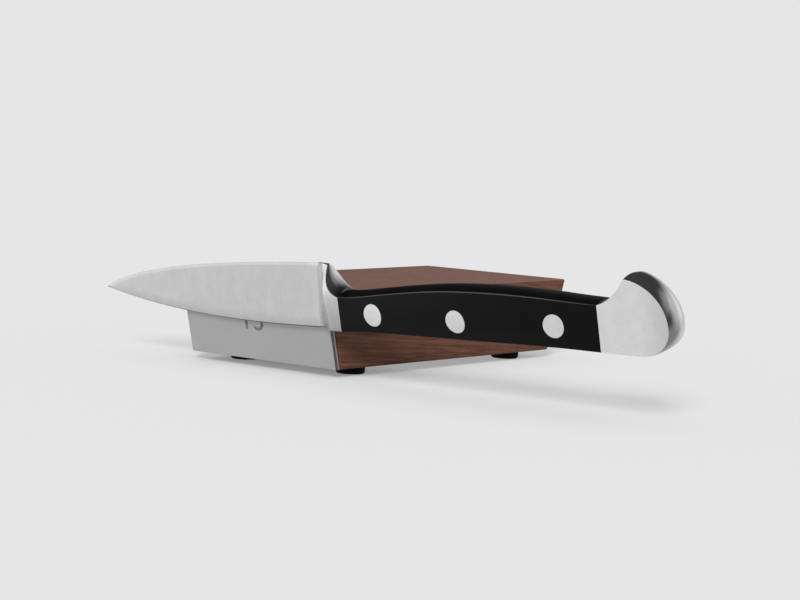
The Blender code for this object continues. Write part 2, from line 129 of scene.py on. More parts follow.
# How finely the knife is divided
blade_stations = 56
blade_levels = 14
scoop_stations = 22
handle_stations = 72
tang_stations = 18
side_levels = 10
crown_levels = 8
arris_levels = 5
butt_curve_points = 26
butt_levels = 16
rivet_segments = 64
rivet_rings = 5

# Angle between two faces from which their edge looks sharp
sharp_angle = radians(40)
butt_sharp_angle = radians(50)

# Camera, from the middle of the front plate's bottom edge. Lens and sensor are in millimetres
camera_place = Vector((0.41033, -0.45234, 0.07009))
camera_azimuth = radians(38.942)
camera_elevation = radians(4.967)
camera_roll = radians(2.404)
camera_lens = 106.805
camera_sensor_width = 36
camera_reach = 100

# Light: how bright a white sheet on the floor looks under each source alone, and where each one is
world_level = 0.43
top_level = 0.16
top_azimuth = radians(0)
top_elevation = radians(80)
top_spread = radians(80)
side_level = 0.41
side_azimuth = radians(31)
side_elevation = radians(27)
side_spread = radians(16)

# Floor, and the background that looks the same. The camera alone sees a share of plain glow in the
# floor, so that shadows on it stay pale. Near the front feet that share is less
floor_white = 0.7913
floor_half = 12.0
floor_glow_share = 0.45
front_glow_share = 0.29
front_glow_reach = 0.022

# What gloss on the pieces mirrors: a dark room, a grey table and soft light areas. Heights are those
# of a direction one unit long. An area has an azimuth from +Y towards +X, an elevation, and the
# radii of its middle and of its faded rim, all in degrees, and then a level
dark_room = 0.048
grey_table = 0.235
table_rim_height = -0.045
table_rim_softness = 0.25
light_areas = (
    (-3, 6, 0, 43, 0.58),
    (40, 21, 0, 42, 0.53),
    (82, 37, 0, 29, 0.24),
    (-118, 14, 12, 45, 0.90),
    (-125, -35, 30, 65, 0.42))

# Steel: how much of it is metal and not diffuse, how pale each surface is, how far its lines and
# its clouds go below and above that, and how much the clouds count
ground_metal_share = 0.75
plate_metal_share = 0.6
blade_tone = 0.55
edge_tone = 0.58
# The spine's chamfer is painted nearly black, as shade under the spine
spine_chamfer_shade_tone = 0.12
bolster_tone = 0.69
scoop_tone = 0.94
butt_tone = 0.745
butt_rim_tone = 0.78
rivet_tone = 0.75
rear_plate_tone = 0.55
line_contrast_share = 0.03
rivet_contrast_share = 0.16
cloud_contrast_share = 0.07
polish_contrast_share = 0.05
cloud_share = 0.6

# Roughness of ground steel, and how far its fine lines take that down and up
ground_roughness = 0.30
bolster_roughness = 0.26
rivet_roughness = 0.48
rear_plate_roughness = 0.36
fine_roughness_drop = 0.05
fine_roughness_rise = 0.07

# Roughness of the other finishes, from one value to another
polish_roughness = (0.13, 0.21)
plate_roughness = (0.32, 0.42)
handle_roughness = (0.33, 0.42)
nickel_roughness = (0.15, 0.28)
rubber_roughness = (0.7, 0.9)
walnut_roughness = (0.62, 0.46)

# How densely the broad and the fine lines of ground steel lie along X, Y and Z, per metre, and after
# them the hairs of polished steel, the lines of the front plate and the clouds of the handle
blade_line_scales = ((1500, 300, 60), (7000, 700, 160))
edge_line_scales = ((5200, 300, 500), (9000, 700, 900))
spine_line_scales = ((400, 300, 60), (900, 700, 160))
bolster_line_scales = ((900, 300, 60), (6000, 700, 300))
butt_line_scales = ((260, 300, 700), (900, 700, 6000))
rivet_line_scales = ((3000, 3000, 3000), (5000, 900, 5000))
rear_plate_line_scales = ((500, 4000, 4000), (700, 7000, 7000))
polish_hair_scale = (400, 4200, 400)
plate_line_scale = (500, 6000, 6000)
handle_cloud_scale = (60, 120, 120)

# The same for clouds, specks and grain that are as dense along each axis
ground_cloud_density = 300
polish_cloud_density = 260
plate_cloud_density = 60
plate_speck_density = 3000
handle_grain_density = 2600
nickel_cloud_density = 700
rubber_grain_density = 2400
number_grain_density = 3000

# Painted shade where the steel is darker: how far it reaches, and how strong it is
crease_shade_reach = 0.0020
crease_shade_end = 0.0005
spine_shade_reach = 0.0028
spine_shade_share = 0.4
bolster_shade_reach = 0.0130
bolster_shade_share = 1
scoop_shade_reach = 0.0032
scoop_shade_share = 0.9
scoop_shade_grey = 0.03
butt_shade_reach = 0.0074
butt_shade_share = 0.42

# Depth of the grain that gives each finish its relief
ground_depth = 0.0000015
polish_depth = 0.0000012
plate_depth = 0.000002
handle_depth = 0.000003
rubber_depth = 0.00002
pore_depth = 0.00003

# Front plate: its face, the specks on it, and the painted shade on its edge near the face and painted
# highlight near the wood
plate_greys = (0.38, 0.405)
plate_speck_grey = 0.435
plate_speck_share = 0.3
plate_edge_shade_colour = (0.125, 0.108, 0.112)
plate_edge_highlight_colour = (0.42, 0.33, 0.31)

# Other plain finishes, each between two tones, and the grey of the painted highlight on the handle's
# long top edges
handle_colours = ((0.0014, 0.0014, 0.0015), (0.0026, 0.0026, 0.0027))
arris_highlight_grey = 0.062
nickel_colours = ((0.60, 0.58, 0.53), (0.72, 0.70, 0.66))
rubber_greys = (0.003, 0.009)
number_greys = (0.09, 0.17)

# Where a surface starts to count as an arris, a plate's edge or the walnut's top, and where it fully
# does: how far its normal reaches that way, and for an arris its reaches sideways and up multiplied
arris_facing = (0.32, 0.48)
edge_facing = (0.6, 0.8)
top_facing = (0.5, 0.9)

# Walnut: colours of its bands from the darkest to the palest, and what lies over them
walnut_band_colours = (
    (0.28, (0.102, 0.037, 0.020)),
    (0.42, (0.130, 0.050, 0.028)),
    (0.55, (0.153, 0.061, 0.035)),
    (0.72, (0.176, 0.072, 0.043)))
walnut_streak_colour = (0.064, 0.023, 0.012)
walnut_streak_share = 0.68
walnut_pore_colour = (0.048, 0.018, 0.011)
# The walnut top's colour and its share are painted light and sheen on the top
walnut_top_light_colour = (0.455, 0.287, 0.248)
walnut_top_light_share = 0.27

# Walnut's grain: how densely it lies along X, Y and Z, per metre, the values of noise from which
# streaks and pores fade and at which they end, and how far the grain is turned and drifts
walnut_drift_scale = (30, 7, 30)
walnut_band_scale = (400, 14, 640)
walnut_streak_scale = (1500, 38, 1900)
walnut_pore_scale = (4800, 80, 4800)
walnut_streak_fade = (0.34, 0.60)
walnut_pore_fade = (0.30, 0.40)
grain_turn = (0.08, 0, 0.02)
grain_drift = 7.0

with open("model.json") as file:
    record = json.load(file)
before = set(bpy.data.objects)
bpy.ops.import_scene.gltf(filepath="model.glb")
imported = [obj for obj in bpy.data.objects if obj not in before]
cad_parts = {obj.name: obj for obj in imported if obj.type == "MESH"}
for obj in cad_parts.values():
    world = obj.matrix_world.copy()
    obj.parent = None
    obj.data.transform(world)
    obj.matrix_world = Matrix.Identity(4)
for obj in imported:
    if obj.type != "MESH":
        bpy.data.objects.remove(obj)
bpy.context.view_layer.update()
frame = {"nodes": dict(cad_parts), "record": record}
plate_low, plate_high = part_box("front_plate_15")
foot_low, foot_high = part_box("foot_front_left")
block_width = plate_high.x - plate_low.x
block_height = plate_high.z - plate_low.z
front_slope = block_height / cos(front_angle)
wood_front = (plate_thickness + seat_gap) / cos(front_angle)
block_origin = Vector((
    (plate_low.x + plate_high.x) / 2,
    (foot_low.y + foot_high.y) / 2 - foot_end_inset - wood_front,
    plate_low.z))
blade_wedge = atan2((blade_spine_thickness - edge_bevel_thickness) / 2, blade_height)
handle_start = bolster_length
butt_start = handle_start + handle_length


def knife_matrix():
    """Place of the knife's heel on the front plate."""
    middle = block_origin + Vector((0, -block_height / 2 * tan(front_angle), block_height / 2))
    stand_off = seat_gap + blade_spine_thickness / 2
    return (
        Matrix.Translation(middle)
        @ Matrix.Rotation(front_angle, 4, "X")
        @ Matrix.Translation((0, -stand_off, knife_rise - front_slope / 2))
        @ Matrix.Rotation(-blade_wedge, 4, "X")
        @ Matrix.Translation((block_width / 2 + knife_heel_overhang, 0, 0))
        @ Matrix.Rotation(-knife_tilt, 4, "Y"))


# Curves and sections

def bezier(shares, width, height, count):
    """Points along a Bezier curve whose four points are shares of a width and a height."""
    knots = [Vector((x * width, z * height)) for x, z in shares]
    return interpolate_bezier(*knots, count)


def follow(points, share):
    """Height at a share of the way along a smooth line through (share, height) points."""
    last = len(points) - 1
    index = min(max(sum(1 for x, _ in points if x <= share) - 1, 0), last - 1)

    def slope(i):
        before = points[max(i - 1, 0)]
        after = points[min(i + 1, last)]
        return (after[1] - before[1]) / (after[0] - before[0])

    (x0, y0), (x1, y1) = points[index], points[index + 1]
    span = x1 - x0
    t = (share - x0) / span
    rise = y1 - y0
    lead = slope(index) * span
    tail = slope(index + 1) * span
    return y0 + lead * t + (3 * rise - 2 * lead - tail) * t ** 2 + (lead + tail - 2 * rise) * t ** 3


def clamp(share):
    return min(max(share, 0), 1)


def ease(share):
    """Smooth step from 0 to 1."""
    share = clamp(share)
    return share * share * (3 - 2 * share)


def bulge(share):
    """0 at both ends and 1 in the middle."""
    return 4 * share * (1 - share)


def steps(count):
    """Even shares from 0 to 1."""
    return [step / count for step in range(count + 1)]


def mirrored(side):
    """Closed ring from the points of its near half, whose first and last lie on the middle plane."""
    return side + [(x, -y, z) for x, y, z in side[-2:0:-1]]


def loft(name, rings, zone, finishes):
    """Solid over closed rings of points. zone gives a face's finish; finishes meet at sharp edges."""
    shape = bmesh.new()
    rows = [[shape.verts.new(point) for point in ring] for ring in rings]
    count = len(rows[0])
    for number, (row, following) in enumerate(zip(rows, rows[1:])):
        for i in range(count):
            j = (i + 1) % count
            face = shape.faces.new((row[i], row[j], following[j], following[i]))
            face.material_index = zone(number, i)
    for ends, number in ((rows[0], 0), (rows[-1], len(rows) - 2)):
        shape.faces.new(ends).material_index = zone(number, 0)
    bmesh.ops.recalc_face_normals(shape, faces=shape.faces)
    return finish_mesh(name, shape, finishes, sharp_angle)


def finish_mesh(name, shape, finishes, least_angle):
    """Object from a bmesh, smooth except at steep edges and where two finishes meet."""
    for face in shape.faces:
        face.smooth = True
    for edge in shape.edges:
        if len(edge.link_faces) == 2:
            one, other = edge.link_faces
            steep = edge.calc_face_angle(0) > least_angle
            edge.smooth = not (steep or one.material_index != other.material_index)
    mesh = bpy.data.meshes.new(name)
    shape.to_mesh(mesh)
    shape.free()
    for finish in finishes:
        mesh.materials.append(finish)
    made = bpy.data.objects.new(name, mesh)
    bpy.context.scene.collection.objects.link(made)
    return made


# Material building blocks

def node(tree, kind, inputs=None, **settings):
    """Shader node, with its inputs linked to sockets or set to values."""
    made = tree.nodes.new(kind)
    for key, value in settings.items():
        setattr(made, key, value)
    for key, value in (inputs or {}).items():
        if isinstance(value, bpy.types.NodeSocket):
            tree.links.new(value, made.inputs[key])
        else:
            made.inputs[key].default_value = value
    return made


def new_material(name, roughness, metallic=0, specular=0.5):
    """Material with its node tree and its surface shader."""
    made = bpy.data.materials.new(name)
    made.use_nodes = True
    surface = made.node_tree.nodes["Principled BSDF"]
    surface.inputs["Roughness"].default_value = roughness
    surface.inputs["Metallic"].default_value = metallic
    surface.inputs["Specular IOR Level"].default_value = specular
    return made, made.node_tree, surface


def place(tree, scale=(1, 1, 1), turn=(0, 0, 0)):
    """Object coordinates in metres, turned and then scaled."""
    coordinates = node(tree, "ShaderNodeTexCoord").outputs["Object"]
    turned = node(tree, "ShaderNodeVectorRotate", {"Vector": coordinates, "Rotation": turn},
                  rotation_type="EULER_XYZ").outputs[0]
    return node(tree, "ShaderNodeVectorMath", {0: turned, 1: scale}, operation="MULTIPLY").outputs[0]


def noise(tree, where, detail=3, roughness=0.55, distortion=0):
    inputs = {"Vector": where, "Scale": 1, "Detail": detail, "Roughness": roughness,
              "Distortion": distortion}
    return node(tree, "ShaderNodeTexNoise", inputs).outputs[0]


def even_noise(tree, density, detail=2):
    """Noise that is as dense along each axis."""
    return noise(tree, place(tree, scale=(density, density, density)), detail=detail)


def calculate(tree, operation, *values):
    return node(tree, "ShaderNodeMath", dict(enumerate(values)), operation=operation).outputs[0]


def dot(tree, vector, way):
    """How far a vector reaches along a way."""
    made = node(tree, "ShaderNodeVectorMath", {0: vector, 1: way}, operation="DOT_PRODUCT")
    return made.outputs["Value"]


def split(tree, vector):
    """The X, Y and Z of a vector."""
    return node(tree, "ShaderNodeSeparateXYZ", {0: vector}).outputs


def spread(tree, value, low, high, start=0.25, end=0.75):
    """Value taken from start..end, by default the usual range of noise, to low..high and no further."""
    inputs = {"Value": value, "From Min": start, "From Max": end, "To Min": low, "To Max": high}
    return node(tree, "ShaderNodeMapRange", inputs).outputs[0]


def ramp(tree, value, stops):
    """Colours between (position, colour) stops."""
    made = node(tree, "ShaderNodeValToRGB", {0: value})
    elements = made.color_ramp.elements
    while len(elements) < len(stops):
        elements.new(1)
    for element, (position, colour) in zip(elements, stops):
        element.position = position
        element.color = (*colour, 1)
    return made.outputs[0]


def mix(tree, share, one, other):
    """Colour between one and other by a share. The node's sockets 6, 7 and 2 are those of colours."""
    made = node(tree, "ShaderNodeMix", {0: share}, data_type="RGBA")
    for key, value in ((6, one), (7, other)):
        if isinstance(value, bpy.types.NodeSocket):
            tree.links.new(value, made.inputs[key])
        else:
            made.inputs[key].default_value = (*value, 1)
    return made.outputs[2]


def grey(level):
    return (level, level, level)


def around(level, contrast):
    """Two greys that lie a share below and above a level."""
    return grey(level * (1 - contrast)), grey(level * (1 + contrast))


def relief(tree, surface, height, distance):
    """Bump of this distance in metres from a height between 0 and 1."""
    made = node(tree, "ShaderNodeBump", {"Height": height, "Distance": distance, "Strength": 1})
    tree.links.new(made.outputs[0], surface.inputs["Normal"])


def set_input(tree, surface, key, value):
    tree.links.new(value, surface.inputs[key])


# Materials

def ground_steel(name, tone, roughness, line_scales, shade=None, contrast=line_contrast_share):
    """Steel with broad and fine grinding lines.

    shade makes the share of painted shade, by which the tone falls towards half of itself.
    """
    made, tree, surface = new_material(name, roughness, ground_metal_share)
    broad_scale, fine_scale = line_scales
    broad = noise(tree, place(tree, scale=broad_scale), detail=4)
    fine = noise(tree, place(tree, scale=fine_scale), detail=2)
    cloud = even_noise(tree, ground_cloud_density)
    lines = mix(tree, spread(tree, broad, 0, 1), *around(tone, contrast))
    clouds = mix(tree, spread(tree, cloud, 0, 1), *around(tone, cloud_contrast_share))
    colour = mix(tree, cloud_share, lines, clouds)
    if shade:
        colour = mix(tree, shade(tree), colour, grey(tone / 2))
    set_input(tree, surface, "Base Color", colour)
    smoothest = roughness - fine_roughness_drop
    roughest = roughness + fine_roughness_rise
    set_input(tree, surface, "Roughness", spread(tree, fine, smoothest, roughest))
    relief(tree, surface, fine, ground_depth)
    return made


# Painted shade for the blade and for the bolster
def blade_shade(tree):
    return painted_crease_and_spine_shade(tree, spine_shade_share, spine_shade_reach)


def bolster_shade(tree):
    return painted_crease_and_spine_shade(tree, bolster_shade_share, bolster_shade_reach)


def butt_shade(tree):
    """Painted shade on the butt's flat sides towards its round end."""
    along = split(tree, place(tree))[0]
    end = butt_start + butt_length
    return spread(tree, along, 0, butt_shade_share, start=end - butt_shade_reach, end=end)


def painted_crease_and_spine_shade(tree, spine_share, spine_reach):
    """Painted shade in the crease between blade and bolster, and up from the spine.

    The spine is taken to rise with the cube of the way to the point.
    """
    x, _, z = split(tree, place(tree))
    crease = calculate(tree, "MULTIPLY_ADD", z, bolster_slant / blade_height, -bolster_lead)
    beyond = calculate(tree, "SUBTRACT", x, crease)
    before = spread(tree, beyond, 0, 1, start=-crease_shade_reach, end=0)
    after = spread(tree, beyond, 1, 0, start=0, end=crease_shade_end)
    in_crease = calculate(tree, "MULTIPLY", before, after)
    along = calculate(tree, "DIVIDE", x, -blade_length)
    point_rise = blade_height * spine_line_shares[-1][1]
    spine = calculate(tree, "MULTIPLY", calculate(tree, "POWER", along, 3), point_rise)
    height = calculate(tree, "SUBTRACT", z, spine)
    at_spine = spread(tree, height, spine_share, 0, start=0, end=spine_reach)
    return calculate(tree, "MAXIMUM", in_crease, at_spine)


def polished_steel(name, tone, shade_reach=0):
    """Polished steel, with painted shade that may darken it towards the bolster's joint with the
    handle.
    """
    made, tree, surface = new_material(name, roughness=0.16, metallic=1)
    cloud = even_noise(tree, polish_cloud_density, detail=3)
    colour = mix(tree, cloud, *around(tone, polish_contrast_share))
    if shade_reach:
        along = split(tree, place(tree))[0]
        start = bolster_length - shade_reach
        near = spread(tree, along, 0, scoop_shade_share, start=start, end=bolster_length)
        colour = mix(tree, near, colour, grey(scoop_shade_grey))
    set_input(tree, surface, "Base Color", colour)
    hairs = noise(tree, place(tree, scale=polish_hair_scale), detail=2)
    set_input(tree, surface, "Roughness", spread(tree, hairs, *polish_roughness))
    relief(tree, surface, hairs, polish_depth)
    return made


def handle_black():
    """Satin black, with a painted highlight where a surface faces both sideways and up, as the long top
    edges do.
    """
    made, tree, surface = new_material("handle_black", roughness=0.36, specular=0.10)
    grain = even_noise(tree, handle_grain_density)
    cloud = noise(tree, place(tree, scale=handle_cloud_scale), detail=3)
    colour = mix(tree, spread(tree, cloud, 0, 1), *handle_colours)
    _, sideways, upwards = split(tree, node(tree, "ShaderNodeTexCoord").outputs["Normal"])
    both = calculate(tree, "MULTIPLY", calculate(tree, "ABSOLUTE", sideways), upwards)
    painted_arris_highlight = spread(tree, both, 0, 1, *arris_facing)
    colour = mix(tree, painted_arris_highlight, colour, grey(arris_highlight_grey))
    set_input(tree, surface, "Base Color", colour)
    set_input(tree, surface, "Roughness", spread(tree, cloud, *handle_roughness))
    relief(tree, surface, grain, handle_depth)
    return made


def plate_satin():
    """Fine satin steel whose edge has painted shade near the face and a painted highlight behind,
    towards the wood.
    """
    made, tree, surface = new_material("plate_satin", roughness=0.36, metallic=plate_metal_share)
    fine = noise(tree, place(tree, scale=plate_line_scale), detail=2)
    speckle = even_noise(tree, plate_speck_density)
    cloud = even_noise(tree, plate_cloud_density)
    face = mix(tree, spread(tree, cloud, 0, 1), *map(grey, plate_greys))
    face = mix(tree, spread(tree, speckle, 0, plate_speck_share), face, grey(plate_speck_grey))
    sideways = split(tree, node(tree, "ShaderNodeNewGeometry").outputs["Normal"])[0]
    on_edge = spread(tree, calculate(tree, "ABSOLUTE", sideways), 0, 1, *edge_facing)
    inwards = Vector((0, cos(front_angle), sin(front_angle)))
    depth = dot(tree, place(tree), inwards)
    change = block_origin.dot(inwards) + plate_dark_edge
    behind = spread(tree, depth, 0, 1, start=change - plate_edge_blend, end=change + plate_edge_blend)
    edge = mix(tree, behind, plate_edge_shade_colour, plate_edge_highlight_colour)
    set_input(tree, surface, "Base Color", mix(tree, on_edge, face, edge))
    set_input(tree, surface, "Roughness", spread(tree, fine, *plate_roughness))
    relief(tree, surface, speckle, plate_depth)
    return made


def rear_plate_satin():
    return ground_steel(
        "rear_plate_satin", rear_plate_tone, rear_plate_roughness, rear_plate_line_scales)


def nickel():
    made, tree, surface = new_material("nickel_plating", roughness=0.2, metallic=1)
    cloud = even_noise(tree, nickel_cloud_density, detail=3)
    set_input(tree, surface, "Base Color", mix(tree, cloud, *nickel_colours))
    set_input(tree, surface, "Roughness", spread(tree, cloud, *nickel_roughness))
    return made


def rubber():
    made, tree, surface = new_material("black_rubber", roughness=0.8, specular=0.15)
    grain = even_noise(tree, rubber_grain_density, detail=3)
    set_input(tree, surface, "Base Color", mix(tree, grain, *map(grey, rubber_greys)))
    set_input(tree, surface, "Roughness", spread(tree, grain, *rubber_roughness))
    relief(tree, surface, grain, rubber_depth)
    return made


def number_ink():
    made, tree, surface = new_material("number_mark", roughness=0.6)
    burn = even_noise(tree, number_grain_density)
    set_input(tree, surface, "Base Color", mix(tree, burn, *map(grey, number_greys)))
    return made


def walnut():
    """Oiled walnut with its grain along Y, dark streaks, pores, and painted light and sheen that make
    its top lighter and greyer.
    """
    made, tree, surface = new_material("walnut", roughness=0.5, specular=0.22)
    drift = noise(tree, place(tree, scale=walnut_drift_scale), detail=2)
    shift = calculate(tree, "MULTIPLY", drift, grain_drift)
    along = place(tree, scale=walnut_band_scale, turn=grain_turn)
    wavy = node(tree, "ShaderNodeVectorMath", {0: along, 1: shift}, operation="ADD").outputs[0]
    bands = noise(tree, wavy, detail=4, roughness=0.6, distortion=0.4)
    streaks = noise(tree, place(tree, scale=walnut_streak_scale, turn=grain_turn), detail=3)
    tone = ramp(tree, bands, walnut_band_colours)
    streaky = spread(tree, streaks, walnut_streak_share, 0, *walnut_streak_fade)
    tone = mix(tree, streaky, tone, walnut_streak_colour)
    pores = noise(tree, place(tree, scale=walnut_pore_scale, turn=grain_turn), detail=1)
    holes = spread(tree, pores, 1, 0, *walnut_pore_fade)
    tone = mix(tree, holes, tone, walnut_pore_colour)
    upwards = split(tree, node(tree, "ShaderNodeNewGeometry").outputs["Normal"])[2]
    painted_top_light = spread(tree, upwards, 0, walnut_top_light_share, *top_facing)
    tone = mix(tree, painted_top_light, tone, walnut_top_light_colour)
    set_input(tree, surface, "Base Color", tone)
    set_input(tree, surface, "Roughness", spread(tree, streaks, *walnut_roughness))
    relief(tree, surface, mix(tree, holes, grey(1), grey(0)), pore_depth)
    return made


# Knife

def blade_side(low, high, along):
    """Near half of a blade section, from the spine to the edge."""
    height = high.y - low.y
    thin = 1 - along * (1 - blade_point_thickness / blade_spine_thickness)
    back = blade_spine_thickness * thin / 2
    shoulder = min(edge_bevel_thickness / 2, back)
    chamfer = min(spine_chamfer * thin, height * spine_chamfer_most_share)
    first = chamfer / height
    last = 1 - min(edge_bevel_height / height, edge_bevel_most_share)
    near = (low.x + blade_fillet_length) / blade_fillet_length
    fillet = blade_fillet_rise * clamp(near) ** 2
    side = [(low.x, 0, low.y), (low.x, -(back - chamfer), low.y)]
    for share in steps(blade_levels):
        half = back + (shoulder - back) * share + fillet
        point = low.lerp(high, first + share * (last - first))
        side.append((point.x, -half, point.y))
    side.append((high.x, -blade_edge_thickness / 2, high.y))
    side.append((high.x, 0, high.y))
    return side


def handle_top(share):
    return handle_height * follow(handle_top_shares, share)


def handle_back(share):
    return handle_height * follow(handle_back_shares, share)


def run_out(share):
    """Rise from 0 to 1 that starts at its steepest and ends level."""
    return share * (1.5 - 0.5 * share * share)


def flare_half(x, z):
    """Half the thickness of the bolster at a height of its side."""
    shoulder = handle_top(0)
    up = clamp(z / blade_height)
    thin = (blade_spine_thickness + (edge_bevel_thickness - blade_spine_thickness) * up) / 2
    above = clamp((z - shoulder) / (blade_height - shoulder))
    full = (handle_end_thickness + (heel_top_thickness - handle_end_thickness)
            * above ** bolster_taper_power) / 2
    start = bolster_slant * up - bolster_lead
    end = flare_back_length + (flare_top_length - flare_back_length) * clamp(z / shoulder)
    share = clamp((x - start) / (end - start))
    fillet = blade_fillet_rise * (1 - share)
    return thin + fillet + (full - thin) * run_out(share)


def edge_crown(share):
    """How far the handle's top and back swell between their long edges."""
    return handle_front_crown + (handle_butt_crown - handle_front_crown) * share


def outward_normals(points, first, last):
    """Unit normals on the left of a line of (x, z) points, with those of its two ends given."""
    normals = [first]
    for before, after in zip(points, points[2:]):
        along = after - before
        normals.append(Vector((-along.y, along.x)).normalized())
    return [*normals, last]


def bolster_side(x, low, high, below, above):
    """Near half of a bolster section. Its middle swells down by below and by the vector above."""
    share = clamp(x / bolster_length)
    bottom = flare_half(x, low)
    chamfer = spine_chamfer * (1 - share)
    side = [(x, 0, low - below), (x, -(bottom - chamfer), low)]
    for part in steps(blade_levels):
        z = low + chamfer + (high - low - chamfer) * part
        side.append((x, -flare_half(x, z), z))
    top = flare_half(x, high)
    for part in steps(crown_levels)[1:]:
        y = top * (1 - part)
        swell = above * (1 - (y / top) ** 2)
        side.append((x + swell.x, -y, high + swell.y))
    return side


def add_blade(flat, edge, spine_finish):
    line = bezier(edge_line_shares, -blade_length, blade_height, blade_stations)
    spine = bezier(spine_line_shares, -blade_length, blade_height, blade_stations)
    rings = []
    for number in range(blade_stations - 1, -1, -1):
        along = number / (blade_stations - 1)
        rings.append(mirrored(blade_side(spine[number], line[number], along)))
    half_count = len(rings[0]) // 2
    bevels = (half_count - 2, half_count - 1, half_count, half_count + 1)
    last = 2 * half_count - 1
    chamfers = (1, last - 1)

    def zone(number, i):
        if i in bevels:
            return 1
        return 2 if i in chamfers else 0

    return loft("blade", rings, zone, (flat, edge, spine_finish))


def add_bolster(flat, polish):
    back = handle_back(0)
    drop = blade_height - handle_top(0)
    scoop = bezier(scoop_line_shares, bolster_length - heel_land_length, heel_land_drop - drop,
                   scoop_stations)
    land_length = heel_land_length + bolster_lead
    land = [Vector((land_length * share - bolster_lead, -heel_land_drop * share * share))
            for share in heel_land_shares]
    tops = land + [Vector((heel_land_length, -heel_land_drop)) + point for point in scoop]
    up = Vector((0, 1))
    rings = []
    for number, (top, normal) in enumerate(zip(tops, outward_normals(tops, up, up))):
        share = ease(top.x / bolster_length)
        down_scoop = max(number - len(land), 0) / (scoop_stations - 1)
        swell = edge_crown(0) * share
        above = normal * (swell + scoop_crown * bulge(down_scoop))
        rings.append(mirrored(bolster_side(top.x, back * share, blade_height + top.y, swell, above)))
    first = blade_levels + 2
    last = len(rings[0]) - first - 1

    def zone(number, i):
        return 1 if first <= i <= last else 0

    return loft("bolster", rings, zone, (flat, polish))


def handle_half(share):
    """Half the handle's thickness at the long edges of its sides."""
    ends = handle_end_thickness + (handle_butt_thickness - handle_end_thickness) * share
    return (ends + (handle_arris_thickness - ends) * follow(handle_arris_shares, share)) / 2


def flank(share, part):
    """Half the handle's thickness at a share of its length and of its height."""
    return handle_half(share) + handle_side_swell * bulge(share) * bulge(part)


def scale_ring(share, side):
    """Section of one handle scale, from the middle plane round the back, side and top."""
    x = handle_start + handle_joint_gap + share * (handle_length - 2 * handle_joint_gap)
    low = handle_back(share)
    high = handle_top(share)
    half = handle_half(share)
    arris = handle_arris_round

    def crown(y):
        return edge_crown(share) * (1 - (y / half) ** 2)

    points = []
    for part in steps(crown_levels):
        y = part * (half - arris)
        points.append((y, low - crown(y)))
    for part in steps(arris_levels)[1:]:
        y = half - arris * (1 - sin(part * pi / 2))
        points.append((y, low + arris - (arris + crown(half - arris)) * cos(part * pi / 2)))
    for part in steps(side_levels)[1:]:
        points.append((flank(share, part), low + arris + part * (high - low - arris)))
    rise = arris * bulge(share)
    for part in steps(arris_levels)[1:]:
        y = half - arris * (1 - cos(part * pi / 2))
        points.append((y, high + (rise + crown(half - arris)) * sin(part * pi / 2)))
    for part in steps(crown_levels)[1:]:
        y = (1 - part) * (half - arris)
        points.append((y, high + rise + crown(y)))
    return [(x, side * y, z) for y, z in points]


def add_scale(name, side, finish):
    rings = [scale_ring(share, side) for share in steps(handle_stations)]
    return loft(name, rings, lambda number, i: 0, (finish,))


def add_tang(finish):
    """Flat tang inside the handle."""
    half = tang_thickness / 2
    rings = []
    for share in steps(tang_stations):
        x = handle_start + share * handle_length
        low = handle_back(share) + tang_margin
        high = handle_top(share) - tang_margin
        rings.append([(x, -half, low), (x, -half, high), (x, half, high), (x, half, low)])
    return loft("tang", rings, lambda number, i: 0, (finish,))


def butt_outline():
    """Outline of the butt's flat side, from the joint over the crest and back to the joint."""
    points = []
    for shares in (butt_hook_shares, butt_tip_shares, butt_crest_shares, butt_heel_shares):
        points += bezier(shares, butt_length, butt_height, butt_curve_points)[:-1]
    points.append(Vector((butt_heel_shares[-1][0] * butt_length, 0)))
    points.append(Vector((0, handle_back(1))))
    return [Vector((butt_start, 0)) + point for point in points]


def butt_crowns(outline):
    """How far the butt's rim swells at each point of its outline."""
    ways = [0]
    for before, point in zip(outline, outline[1:]):
        ways.append(ways[-1] + (point - before).length)
    climb = butt_crest_crown - handle_butt_crown
    return [handle_butt_crown + climb * follow(butt_crown_shares, way / ways[-1]) for way in ways]


def add_butt(flat, polish):
    """Butt slab, whose outline swells from its flat sides to its middle."""
    outline = butt_outline()
    last = len(outline) - 1
    up = Vector((0, 1))
    normals = outward_normals(outline, up, -up)
    crowns = butt_crowns(outline)
    shape = bmesh.new()
    rows = []
    for part in steps(butt_levels):
        across = 2 * part - 1
        row = []
        for point, normal, crown in zip(outline, normals, crowns):
            grown = point + normal * crown * (1 - across * across)
            row.append(shape.verts.new((grown.x, across * handle_butt_thickness / 2, grown.y)))
        rows.append(row)
    for row, following in zip(rows, rows[1:]):
        for i in range(last):
            face = shape.faces.new((row[i], row[i + 1], following[i + 1], following[i]))
            face.material_index = 1
        shape.faces.new((row[last], row[0], following[0], following[last]))
    shape.faces.new(rows[0])
    shape.faces.new(rows[-1])
    bmesh.ops.recalc_face_normals(shape, faces=shape.faces)
    return finish_mesh("butt", shape, (flat, polish), butt_sharp_angle)


def add_rivet(name, along, up, head, rim):
    """Rivet right through the handle, whose heads follow the handle's swelling sides."""
    centre_x = handle_start + along * handle_length
    centre_z = up * handle_height
    radius = rivet_head_diameter / 2

    def surface(x, z):
        share = (x - handle_start) / handle_length
        low = handle_back(share) + handle_arris_round
        return flank(share, (z - low) / (handle_top(share) - low))

    profile = [(radius * share, rivet_proud) for share in steps(rivet_rings)[1:]]
    profile[-1] = (radius - rivet_rim, rivet_proud)
    profile.append((radius, -rivet_rim))
    rings = []
    for side in (-1, 1):
        circles = []
        for size, proud in profile:
            ring = []
            for step in range(rivet_segments):
                angle = 2 * pi * step / rivet_segments
                x = centre_x + size * cos(angle)
                z = centre_z + size * sin(angle)
                ring.append((x, side * (surface(x, z) + proud), z))
            circles.append(ring)
        rings += circles if side < 0 else circles[::-1]
    rim_rows = (len(profile) - 2, len(profile) - 1, len(profile))
    return loft(name, rings, lambda number, i: 1 if number in rim_rows else 0, (head, rim))


def settle(piece, where, body):
    piece.matrix_world = where
    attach(piece, body)


